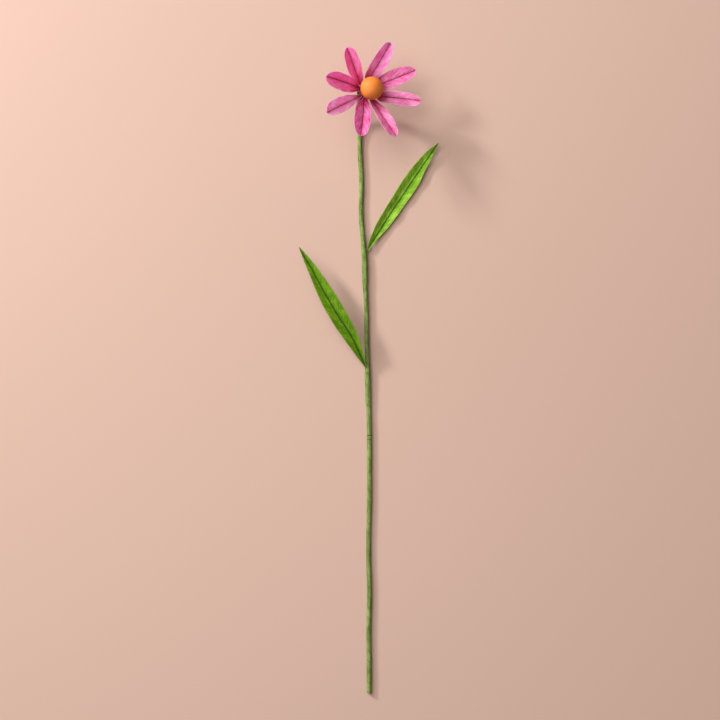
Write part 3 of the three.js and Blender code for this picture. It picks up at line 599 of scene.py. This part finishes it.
def swell(centres, angle):
    """The wrap over a leaf wire's bound tail. angle is round the ring, 0 up."""
    out = 0.0
    for y, a in TAILS:
        along = smooth(y - TAIL_LENGTH - 5, y - TAIL_LENGTH - 1, centres[:, 1]) * (1 - smooth(y + 0.5, y + 4, centres[:, 1]))
        # the frame's side vector is tangent x up, which for this stem points towards +X
        lateral = math.cos(a * DEG) * np.sin(angle) + math.sin(a * DEG) * np.cos(angle)
        c = np.clip(lateral, 0, 1)
        out = out + along[:, None] * (0.12 + 0.82 * c * c)[None]
    return out


def wound(centres, s, sides, base, pitch, step, seed, lead=1.0, lumps=0.05, crinkle=0.028):
    """Radius and tape coordinates of a tube wound with tape: each turn laps over the last and ends in a soft edge."""
    ang = 2 * np.pi * np.arange(sides) / sides
    wander = 0.16 * (fbm(s / 14, 0 * s + 3, seed) - 0.5)
    turn = (s[:, None] / pitch + wander[:, None] + lead * ang[None] / (2 * np.pi))
    w = turn - np.floor(turn)
    k = np.floor(turn)
    lap = step * (smooth(0.0, 0.10, w) * (1 - 0.55 * w)) + step * 0.35 * np.exp(-(((w - 0.965) / 0.02) ** 2)) * noise2(s[:, None] / 3, ang[None] * 2, seed)
    lap = lap * (0.7 + 0.6 * noise2(k * 1.7 + 0.3, 0 * k + seed, seed))
    rx, ry = np.cos(ang)[None] + 0 * w, np.sin(ang)[None] + 0 * w
    bump = lumps * (2 * fbm(s[:, None] / 9 + rx * 0.8, ry * 0.9 + 5, seed + 2) - 1)
    # crinkles cross the tape, so they run round the stem at a slant
    across = s[:, None] * 1.0 + 0.9 * ang[None]
    crepe = crinkle * (np.sin(2 * np.pi * across / 1.15 + 5 * fbm(s[:, None] / 2.5, rx * 1.5 + ry, seed + 4)) * (0.5 + noise2(s[:, None] / 1.7 + rx, ry * 2, seed + 6)))
    r = base[:, None] + lap + bump + crepe
    tape = np.stack([ang[None] + 0 * w, s[:, None] + 0 * w, w], -1)
    rnd = np.stack([rx * base[:, None], ry * base[:, None], 0 * w], -1)
    return r, tape, rnd


wrap_end = STEM_AT[np.argmin(np.linalg.norm(STEM_LINE - on_axis(CLAW_BOTTOM - 0.8), axis=1))]
joint = STEM_AT[np.argmin(np.abs(STEM_LINE[:, 1] + 60))]
sides = 40
ang = 2 * np.pi * np.arange(sides) / sides
both = lambda v: np.vstack([v.reshape(-1, 3), v.reshape(-1, 3)])
stem_tape = tape_material("stem_tape", (0.275, 0.355, 0.105), (0.082, 0.136, 0.018), (0.032, 0.046, 0.002), joint_at=joint)
for name, s0, s1, rows in (("stem_wrap_lower", 0.0, joint - 0.12, 640), ("stem_wrap_upper", joint + 0.12, wrap_end, 900)):
    s, c = stem_stretch(s0, s1, rows)
    base = stem_radius(s) - 0.07
    r, tape, rnd = wound(c, s, sides, base, 8.5, 0.13, 1)
    r = r + swell(c, ang) * 0.75
    # the tape's ends: the lower length is turned in, the upper one starts with a turn laid over itself
    if s0 == 0:
        r[:2] -= 0.06
        r = r - 0.16 * smooth(s1 - 0.7, s1, s)[:, None] + 0.10 * (smooth(s1 - 3.4, s1 - 3.0, s) * (1 - smooth(s1 - 1.0, s1 - 0.4, s)))[:, None]
    else:
        r = r - 0.12 * (1 - smooth(s0, s0 + 0.45, s))[:, None]
    points, quads, tris = tube_mesh(c, r, sides, bore=1.15)
    # the wrap lies on the floor and never under it
    points[:, 2] = np.maximum(points[:, 2], -SHIFT[2] + 0.001)
    build(f"{name}_look", points, quads, tris, {"tape": both(tape), "round": both(rnd)}, stem_tape, [name])

s, c = stem_stretch(0.0, STEM_AT[-1], 620)
wire_r = 0.9 - 0.12 * np.exp(-(s / 0.18) ** 2)
points, quads, tris = tube_mesh(c, np.repeat(wire_r[:, None], 24, 1), 24)
build("stem_wire_look", points, quads, tris, {}, steel_material(), ["stem_wire"])

# ------------------------------------------------------------------ binding under the head
top = STEM_AT[np.argmin(np.linalg.norm(STEM_LINE - on_axis(-14.1), axis=1))]
s, c = stem_stretch(top - 11.2, top, 170)
u = (s - s[0]) / (s[-1] - s[0])
base = 2.0 + 0.36 * smooth(0.1, 0.6, u) - 0.12 * smooth(0.93, 1, u)
r, tape, rnd = wound(c, s, 72, base, 2.6, 0.16, 9, lead=-1.0, lumps=0.07, crinkle=0.03)
ring_t, ring_n, ring_b = frames(c)
at = np.argmin(np.abs(c[:, 0] - 1.3))
aim = unit(np.array([-0.8, 0.6, 0.05]) - ring_t[at] * (ring_t[at] @ np.array([-0.8, 0.6, 0.05])))
lead = math.atan2(aim @ ring_b[at], aim @ ring_n[at])
turn = (2 * np.pi * np.arange(72) / 72 - lead + np.pi) % (2 * np.pi) - np.pi
knot = np.exp(-(((s - s[at]) / 2.3) ** 2))[:, None] * np.exp(-((turn / 0.85) ** 2))[None]
r = r + knot * (2.9 + 0.5 * (2 * fbm(s[:, None] / 0.8, turn[None] * 4, 91) - 1))
points, quads, tris = tube_mesh(c, r, 72, bore=1.84)
# the binding's near-black colours are painted shade under the head, on the tape and its knot alike
neck_tape = tape_material("neck_tape", (0.070, 0.052, 0.010), (0.034, 0.026, 0.005), (0.014, 0.012, 0.002), 4.0)
build("neck_tape_look", points, quads, tris, {"tape": both(tape), "round": both(rnd)}, neck_tape, ["neck_tape"])

# ------------------------------------------------------------------ ball
profile = []
hole, lip = 1.25, 0.25
start = math.asin((hole + lip) / BALL_R)
for a in np.linspace(0, math.pi - start, 90):
    profile.append((BALL_R * math.sin(a), BALL_R * math.cos(a)))
zc = -BALL_R * math.cos(start)
for a in np.linspace(0.15, 1, 6) * math.pi / 2:
    profile.append((hole + lip * (1 - math.sin(a)), zc + lip * (1 - math.cos(a)) * 1.0))
for z in np.linspace(zc + lip + 0.6, 4.5, 12):
    profile.append((hole, z))
profile.append((0.0, 4.9))
profile = np.array(profile)
seg = 128
a = 2 * np.pi * np.arange(seg) / seg
body = profile[1:-1]
ring = np.stack([body[:, :1] * np.cos(a), body[:, :1] * np.sin(a), body[:, 1:] + 0 * a], -1)
direction = unit(ring)
skin = (np.linalg.norm(ring, axis=-1) > BALL_R - 0.01)[..., None]
lump = 0.05 * (fbm(direction[..., 0] * 2 + 4, direction[..., 1] * 2 + direction[..., 2] * 1.7, 3) - 0.5)
grit = 0.016 * (fbm(direction[..., 0] * 26 + direction[..., 2] * 11, direction[..., 1] * 26 - direction[..., 2] * 9, 5) - 0.5)
ring = ring + direction * (lump + grit)[..., None] * skin
k = len(body)
points = np.vstack([ring.reshape(-1, 3), [[0, 0, BALL_R], [0, 0, 4.9]]])
i, j = (m.ravel() for m in np.meshgrid(np.arange(k - 1), np.arange(seg), indexing="ij"))
j2 = (j + 1) % seg
quads = np.stack([i * seg + j, i * seg + j2, (i + 1) * seg + j2, (i + 1) * seg + j], 1)
j = np.arange(seg)
j2 = (j + 1) % seg
tris = np.vstack([np.stack([j, j2, np.full(seg, k * seg)], 1)[:, ::-1], np.stack([(k - 1) * seg + j, (k - 1) * seg + j2, np.full(seg, k * seg + 1)], 1)])
quads, tris = outward(points, quads, tris)
build("ball_look", from_head(points), quads, tris, {}, ball_material(), ["flower_centre"])

# ------------------------------------------------------------------ petals
RISE_T = math.tan(PETAL_RISE * DEG)


def petal_line(petal):
    """The crease as (distance from the axis, height) points from the claw's foot to the tip."""
    line = lambda r: PETAL_MEET + r * RISE_T
    foot, bend, out = np.array([CLAW_R, line(CLAW_R) - 1.3]), np.array([CLAW_R, line(CLAW_R)]), np.array([4.4, line(4.4)])
    pts = [np.array([CLAW_R, h]) for h in np.linspace(CLAW_BOTTOM, foot[1], 12, endpoint=False)]
    for t in np.linspace(0, 1, 24):
        pts.append((1 - t) ** 2 * foot + 2 * t * (1 - t) * bend + t * t * out)
    for t in np.linspace(0, 1, 120)[1:]:
        r = 4.4 + (petal["tip"] - 4.4) * t
        pts.append(np.array([r, line(r) + petal["bow"] * 4 * t * (1 - t)]))
    return np.array(pts)


def petal_half(table, t):
    """A half's width at t along the petal, rounded off at the tip."""
    x = np.clip((t - 0.86) / 0.14, 0, 1)
    return pchip(EDGE_AT, table, t) * np.power(np.clip(1 - x ** 3.0, 0, 1), 0.5)


def crepe(g, l, a, seed, amount):
    """Fine ridges of stretched crepe paper. g runs across the grain and l along it, in mm."""
    phase = 3.2 * fbm(g / 2.2, l / 9.0, seed, 2)
    wave = np.sin(2 * np.pi * g / 0.92 + 4 * phase) + 0.6 * np.sin(2 * np.pi * g / 0.61 - 5 * phase + 1.3)
    return amount * wave * (0.35 + 0.9 * noise2(g / 1.6, l / 5.0, seed + 3)) * smooth(0.2, 1.2, a)


CLAW_DIR = [122.8 - 45 * k for k in range(8)]
turned = lambda d: (d + 540) % 360 - 180


def way_at(index, r):
    """The direction of a petal's crease at distance r from the axis: its claw's own, then along its plan line."""
    direction, offset = PETALS[index]["line"]
    own = CLAW_DIR[index]
    toward = direction + np.degrees(np.arcsin(offset / np.maximum(r, 9)))
    return own + turned(toward - own) * smooth(CLAW_R, 9, r)


def petal(index, rows=190, half_cols=31):
    p = PETALS[index]
    line = petal_line(p)
    total = lengths(line)[-1]
    u = np.linspace(0, 1, rows)
    u = u + 0.055 * np.sin(math.pi * u) * u + 0.0  # rows a little closer together at the tip
    u = (u - u[0]) / (u[-1] - u[0])
    q = resample(line, u)
    slope = np.arctan2(np.gradient(q[:, 1]), np.gradient(q[:, 0]))
    r = q[:, 0]
    t = (r - CLAW_R) / (p["tip"] - CLAW_R)
    along = u * total
    way = way_at(index, r)
    a = way * DEG
    out = np.stack([np.cos(a), np.sin(a), 0 * a], 1)
    left = np.stack([-np.sin(a), np.cos(a), 0 * a], 1)
    up = -np.sin(slope)[:, None] * out + np.cos(slope)[:, None] * np.array([0, 0, 1.0])
    centre = out * r[:, None] + np.array([0, 0, 1.0]) * q[:, 1:2]
    centre = centre + up * (p["lift"] * smooth(0.08, 0.22, t) * (1 - smooth(0.3, 0.75, t)))[:, None]
    opened = smooth(CLAW_R, 7, r)
    x = np.linspace(0, 1, half_cols) ** 1.15
    parts = []
    for k, sign in ((0, 1), (1, -1)):
        width = np.maximum(petal_half(p["right" if k else "left"], t), 0.42 * (1 - smooth(0.9, 1.0, t)) + 0.05)
        ragged = 0.07 * (2 * fbm(along / 1.1, 0 * along + k, index + 20, 2) - 1) + 0.16 * (2 * fbm(along / 7, 0 * along + k, index + 30, 2) - 1)
        width = np.maximum(width + ragged * smooth(0.1, 0.3, t) * (1 - smooth(0.93, 1, t)), 0.05)
        # near the axis a petal keeps to its share of the round
        gap = np.abs(turned(way_at((index + (1 if k else 7)) % 8, r) - way)) / 2 * DEG
        f = p["fold"][k] * DEG * opened
        most = (r * np.tan(gap) - 0.22) / (np.cos(f) + np.sin(f) * np.sin(slope) * np.tan(gap)) + 0.5 * np.maximum(r - 9.5, 0)
        most = np.maximum(most, 0.42)
        soft = 0.25 * np.exp(-(((width - most) / 0.9) ** 2)) * smooth(3, 7, r)
        width = np.maximum(np.minimum(width, most) - soft, 0.42 * (1 - smooth(0.9, 1.0, t)) + 0.05)
        d = width[:, None] * x[None]                     # flat distance from the crease
        fold = (p["fold"][k] + (p["twist"] if k == 0 else -p["twist"]) * (t[:, None] * 2 - 1)) * DEG * opened[:, None]
        fold = fold * (1.18 - 0.42 * x[None]) + (7 * DEG) * opened[:, None] * (2 * fbm(along[:, None] / 11, d / 6, index + 40 + k, 2) - 1)
        mid = lambda v: (v[:, 1:] + v[:, :-1]) / 2
        step = np.diff(d, axis=1)
        y = np.concatenate([np.zeros((rows, 1)), np.cumsum(step * np.cos(mid(fold)), 1)], 1)
        z = np.concatenate([np.zeros((rows, 1)), np.cumsum(step * np.sin(mid(fold)), 1)], 1)
        ruffle = 0.28 * x[None] ** 2 * np.sin(2 * np.pi * along[:, None] / 10.5 + 2.2 * k + index + 2 * fbm(along[:, None] / 9, 0 * d, index + 50)) * smooth(0.12, 0.4, t)[:, None]
        z = z + ruffle
        th = 24 * DEG
        g = d * math.cos(th) - along[:, None] * math.sin(th)
        l = d * math.sin(th) + along[:, None] * math.cos(th)
        bump = crepe(g + 50 * k, l, d, index + 3, 0.034) * smooth(0.05, 0.25, t)[:, None] * (1 - 0.7 * smooth(0.97, 1, t))[:, None]
        pinch = (-0.24 * np.exp(-(d / 0.3) ** 2) + 0.09 * np.exp(-((d - 0.95) / 0.4) ** 2)) * smooth(0.1, 0.25, t)[:, None] * (1 - smooth(0.95, 1, t))[:, None]
        gather = 0.16 * np.sin(x[None] * 9 + index) * (1 - smooth(0.04, 0.22, t))[:, None] * smooth(0.0, 0.05, t)[:, None] * x[None]
        z = z + pinch + gather
        pos = centre[:, None] + left[:, None] * (sign * y)[..., None] + up[:, None] * z[..., None]
        edge = np.minimum(width[:, None] - d, (total - along)[:, None])
        parts.append((pos, bump, np.stack([sign * d, along[:, None] + 0 * d, np.maximum(edge, 0)], -1), np.stack([g + 60 * k, l, 0 * g], -1)))
    order = [np.concatenate([parts[0][i][:, ::-1], parts[1][i][:, 1:]], axis=1) for i in range(4)]
    pos, bump, paper, grain = order
    n = grid_normals(pos)
    if (n[rows // 2, half_cols - 1] @ up[rows // 2]) < 0:
        n = -n
    pos = pos + n * bump[..., None]
    points, quads, tris = sheet_mesh(pos, 0.3, n)
    grain2 = grain.copy()
    grain2[..., 2] = 1.0
    attrs = {"paper": both(paper), "grain": np.vstack([grain.reshape(-1, 3), grain2.reshape(-1, 3)])}
    return from_head(points), quads, tris, attrs


PINKS = [  # light, dark, crease, edge of each petal, and how much light comes through. The petals are one paper: part of the difference between their colours is painted light and shade, and the crease colour is the colour of the painted shade along the fold, also used for thread flecks
    ((0.98, 0.330, 0.660), (0.96, 0.180, 0.480), (0.50, 0.002, 0.085), (0.98, 0.54, 0.80), 0.52),
    ((0.98, 0.450, 0.790), (0.96, 0.230, 0.570), (0.47, 0.004, 0.130), (0.98, 0.68, 0.90), 0.42),
    ((0.98, 0.400, 0.700), (0.91, 0.175, 0.450), (0.50, 0.004, 0.120), (0.98, 0.66, 0.86), 0.36),
    ((0.98, 0.430, 0.720), (0.93, 0.210, 0.500), (0.50, 0.004, 0.120), (0.98, 0.66, 0.86), 0.34),
    ((0.94, 0.350, 0.600), (0.86, 0.160, 0.420), (0.44, 0.003, 0.120), (0.97, 0.60, 0.80), 0.36),
    ((0.98, 0.340, 0.680), (0.87, 0.090, 0.380), (0.48, 0.003, 0.110), (0.98, 0.54, 0.80), 0.36),
    ((0.99, 0.620, 0.900), (0.98, 0.360, 0.700), (0.50, 0.003, 0.100), (0.99, 0.74, 0.94), 0.56),
    ((0.99, 0.350, 0.740), (0.98, 0.185, 0.510), (0.50, 0.002, 0.085), (0.99, 0.54, 0.82), 0.56),
]
for index in range(8):
    light, dark, fold, edge, through = PINKS[index]
    tip = ((0.42, 0.12, 0.42), 42.0, 47.5, 0.5) if index == 1 else None
    # darker towards the base: painted shade under the ball, reaching further out on petals 4 to 6, where the ball's
    # shadow falls
    claw = ((0.56, 0.014, 0.120), 17.0, 31.0 if index in (3, 4, 5) else 28.0, 0.85)
    mat = paper_material(f"petal_crepe_{index + 1}", light, dark, fold, edge, crease_mm=(0.2, 0.62), halo=0.35, seed=3.7 * index, tip=tip,
                         base=claw, through=through)
    points, quads, tris, attrs = petal(index)
    build(f"petal_{index + 1}_look", points, quads, tris, attrs, mat, [f"petal_{index + 1}"])


# ------------------------------------------------------------------ leaves
def leaf(spec, rows=330, half_cols=33, seed=0):
    line = spline(spec["midrib"], rows)
    along = lengths(line)
    total = along[-1]
    t = along / total
    tangent = unit(np.gradient(line, axis=0))
    left = unit(np.stack([-tangent[:, 1], tangent[:, 0], 0 * t], 1))
    up = np.cross(tangent, left)
    o, rise = np.array(spec["outline"]), np.array(spec["rise"])
    x = np.linspace(0, 1, half_cols) ** 1.1
    parts = []
    for k, sign in ((0, 1), (1, -1)):
        width = pchip(o[:, 0], o[:, 1 + k], t)
        nick = 0.09 * (2 * fbm(along / 0.8, 0 * along + k, seed + 60, 2) - 1) + 0.22 * (2 * fbm(along / 11, 0 * along + k, seed + 70, 2) - 1)
        width = np.maximum(width + nick * smooth(0.02, 0.1, t) * (1 - smooth(0.95, 1, t)), 0.12)
        d = width[:, None] * x[None]
        slope = pchip(rise[:, 0], rise[:, 1 + k], t)[:, None] * DEG
        inner = spec["inner"][k] * DEG
        blend = smooth(0.16, 0.42, x)[None]
        fold = inner * (1 - blend) + slope * blend * (1.12 - 0.25 * x[None])
        fold = fold + (6 * DEG) * (2 * fbm(along[:, None] / 16, d / 7, seed + 80 + k, 2) - 1)
        step = np.diff(d, axis=1)
        mid = lambda v: (v[:, 1:] + v[:, :-1]) / 2
        y = np.concatenate([np.zeros((rows, 1)), np.cumsum(step * np.cos(mid(fold)), 1)], 1)
        z = np.concatenate([np.zeros((rows, 1)), np.cumsum(step * np.sin(mid(fold)), 1)], 1)
        z = z + 0.3 * x[None] ** 2 * np.sin(2 * np.pi * along[:, None] / 19 + 1.7 * k + seed + 2 * fbm(along[:, None] / 14, 0 * d, seed + 90)) * smooth(0.05, 0.2, t)[:, None] * (1 - smooth(0.85, 1, t))[:, None]
        th = 33 * DEG
        g = d * math.cos(th) - along[:, None] * math.sin(th)
        l = d * math.sin(th) + along[:, None] * math.cos(th)
        bump = crepe(g + 40 * k, l, d, seed + 13, 0.042) * (1 - 0.7 * smooth(0.97, 1, t))[:, None]
        # the fold line: a tight groove with a low ridge beside it, over the wire
        ridge = (-0.3 * np.exp(-(d / 0.34) ** 2) + 0.16 * np.exp(-((d - 1.15) / 0.55) ** 2)) * smooth(0.0, 0.06, t)[:, None] * (1 - smooth(0.93, 1, t))[:, None]
        z = z + ridge
        pos = line[:, None] + left[:, None] * (sign * y)[..., None] + up[:, None] * z[..., None]
        edge = np.minimum(width[:, None] - d, (total - along)[:, None])
        parts.append((pos, bump, np.stack([sign * d, along[:, None] + 0 * d, np.maximum(edge, 0)], -1), np.stack([g + 60 * k, l, 0 * g], -1)))
    pos, bump, paper, grain = [np.concatenate([parts[0][i][:, ::-1], parts[1][i][:, 1:]], axis=1) for i in range(4)]
    n = grid_normals(pos)
    if n[rows // 2, half_cols - 1] @ up[rows // 2] < 0:
        n = -n
    pos = pos + n * bump[..., None]
    points, quads, tris = sheet_mesh(pos, 0.32, n)
    points[:, 2] = np.maximum(points[:, 2], 0.05)
    grain2 = grain.copy()
    grain2[..., 2] = 1.0
    return points, quads, tris, {"paper": both(paper), "grain": np.vstack([grain.reshape(-1, 3), grain2.reshape(-1, 3)])}


# the leaf crease colour is painted shade along the fold
leaf_crepe = lambda name, seed, light, dark: paper_material(
    name, light, dark, (0.020, 0.090, 0.004), (0.34, 0.42, 0.07),
    crease_mm=(0.3, 0.85), halo=0.35, seed=seed, threads=0.4, through=0.2, sheen=0.03,
    sheen_tint=(0.9, 1.0, 0.8), grain_scale=0.9)
# the two leaves are one paper: the upper leaf's lighter colours and the lower leaf's darker ones are partly painted
# light and shade
for name, spec, seed, light, dark in (
        ("leaf_upper", LEAF_UPPER, 0, (0.360, 0.640, 0.060), (0.190, 0.385, 0.014)),
        ("leaf_lower", LEAF_LOWER, 4, (0.175, 0.350, 0.006), (0.092, 0.222, 0.003))):
    points, quads, tris, attrs = leaf(spec, seed=seed)
    build(f"{name}_look", points, quads, tris, attrs, leaf_crepe(f"{name}_crepe", 5.3 + seed, light, dark), [name])


# ------------------------------------------------------------------ covered wires under the leaves
def stem_point(y):
    i = np.argmin(np.abs(STEM_LINE[:, 1] - y) + (STEM_LINE[:, 2] > 8) * 100)
    return STEM_LINE[i]


for name, spec, (ty, ta), seed in (("leaf_upper_wire", LEAF_UPPER, TAILS[0], 21), ("leaf_lower_wire", LEAF_LOWER, TAILS[1], 27)):
    path = spline(spec["midrib"], 400)
    tangent = unit(np.gradient(path, axis=0))
    left = unit(np.stack([-tangent[:, 1], tangent[:, 0], 0 * path[:, 0]], 1))
    up = np.cross(tangent, left)
    pts = []
    for i in range(10, -1, -1):
        k = int(round((0.82 * i / 10 + 0.015) * 399))
        pts.append(path[k] - up[k] * 0.8)
    off = TAIL_OFFSET * np.array([math.cos(ta * DEG), 0, math.sin(ta * DEG)])
    for d in (3.5, 8.0, 11.0):
        pts.append(stem_point(ty - d) + off * (1.0 if d < 9 else 0.95))
    c = spline(pts, 340)
    s = lengths(c)
    ang = 2 * np.pi * np.arange(20) / 20
    r, tape, rnd = wound(c, s, 20, np.full(len(s), 0.33), 2.4, 0.05, seed, lumps=0.012, crinkle=0.008)
    r[:3] *= np.array([0.55, 0.85, 0.97])[:, None]
    points, quads, tris = tube_mesh(c, r, 20)
    points[:, 2] = np.maximum(points[:, 2], 0.0)
    caps = lambda v: np.vstack([v.reshape(-1, 3), v[0, 0][None], v[-1, 0][None]])
    mat = tape_material(f"{name}_paper", (0.11, 0.24, 0.035), (0.06, 0.15, 0.015), (0.03, 0.08, 0.01), seed)
    build(f"{name}_look", points, quads, tris, {"tape": caps(tape), "round": caps(rnd)}, mat, [name])


# ------------------------------------------------------------------ end
bpy.context.view_layer.update()
